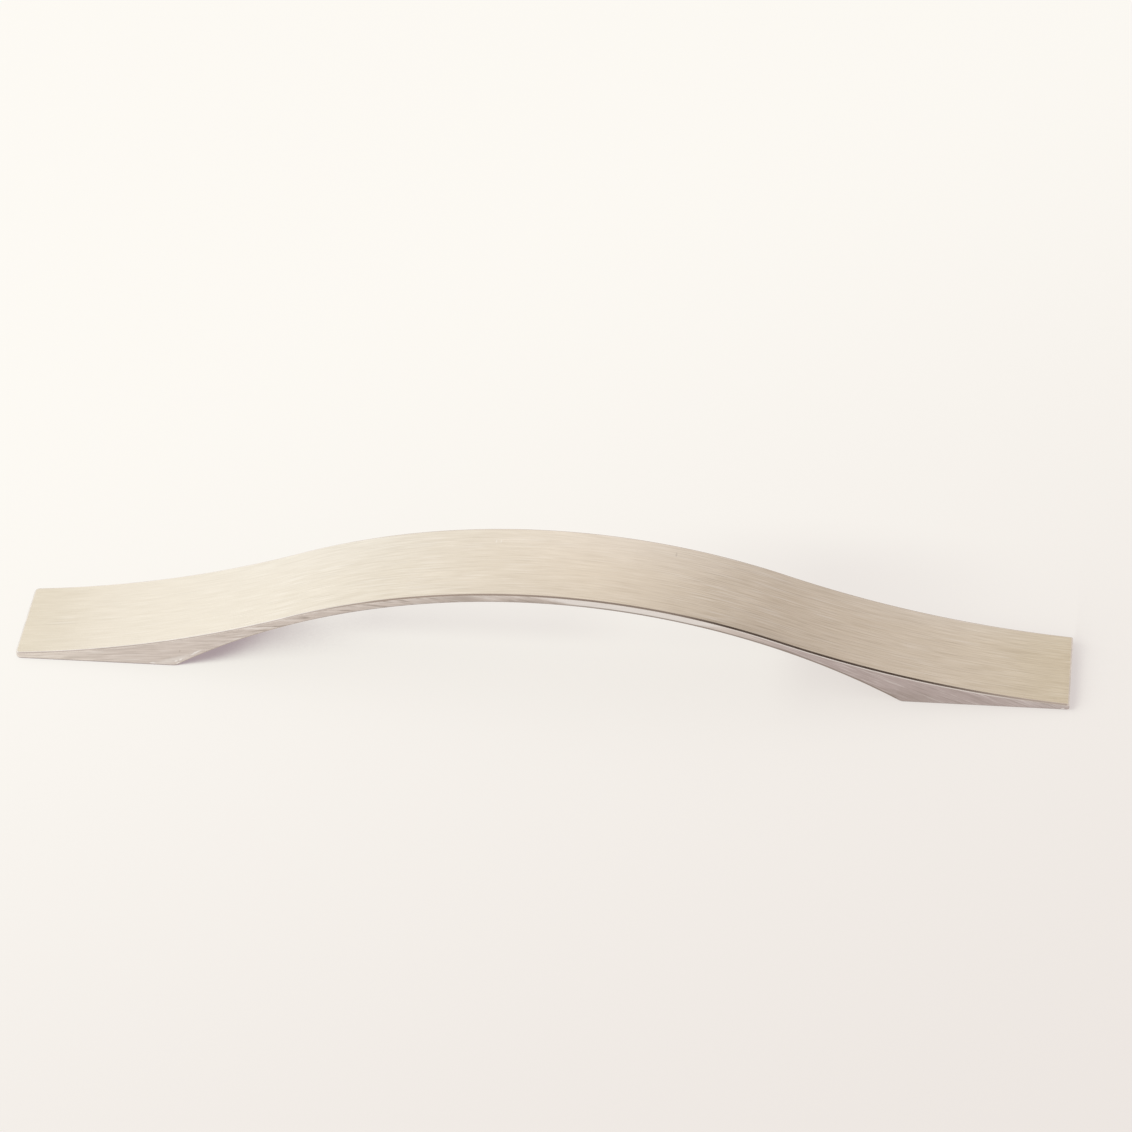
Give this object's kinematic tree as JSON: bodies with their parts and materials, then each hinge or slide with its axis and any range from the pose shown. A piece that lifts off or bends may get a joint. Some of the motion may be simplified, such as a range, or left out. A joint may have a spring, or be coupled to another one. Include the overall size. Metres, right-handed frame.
{
  "type": "curved cabinet pull",
  "caption": "Bow-shaped cabinet pull: a flat satin metal band that arches between wedge-shaped feet, with blind screw holes underneath, for opening doors and drawers.",
  "frame": {"origin": "on the mounting face, midway between the screw holes", "axes": "+X along the pull, +Y across the band, +Z away from the door"},
  "size_m": [0.22, 0.02, 0.025],
  "materials": {
    "brushed_metal": "satin nickel tint, brushed along the length on top, linished bare on the cut sides"
  },
  "bodies": {
    "root": {"cabinet_pull": "brushed_metal"}
  },
  "joints": []
}
